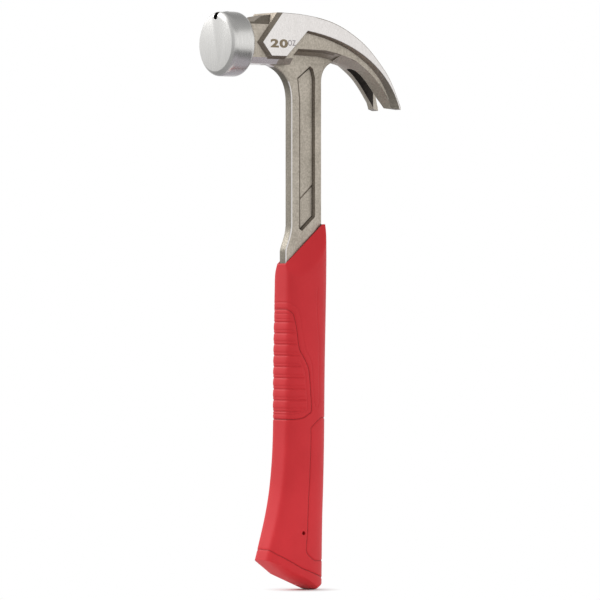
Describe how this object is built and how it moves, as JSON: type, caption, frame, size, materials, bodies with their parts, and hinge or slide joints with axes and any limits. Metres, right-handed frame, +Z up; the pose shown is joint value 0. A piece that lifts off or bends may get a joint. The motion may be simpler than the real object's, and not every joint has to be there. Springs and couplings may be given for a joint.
{
  "type": "claw hammer",
  "caption": "Forged steel claw hammer with a curved nail-pulling claw, a recessed I-beam shank and a moulded non-slip grip",
  "frame": {"origin": "On the level of the butt's lowest point, below the middle between striking face and claw tips, in the plane of symmetry", "axes": "+Z runs up the handle to the head, -X is the way the striking face looks, +X is the claw, and Y is across the head"},
  "size_m": [0.128, 0.0386, 0.3446],
  "materials": {
    "forged_steel": "ground and polished on face, cheeks and claw band, blasted elsewhere",
    "magnet": "dark nickel plate",
    "core_plastic": "as moulded",
    "grip_skin": "fine matt moulded texture",
    "grip_pads": "soft matt, ribbed at the front"
  },
  "bodies": {
    "root": {"hammer_forging": "forged_steel", "nail_magnet": "magnet", "grip_core": "core_plastic", "grip_shell": "grip_skin", "finger_pad": "grip_pads", "spine_pad": "grip_pads", "butt_cap": "grip_skin"}
  },
  "joints": []
}
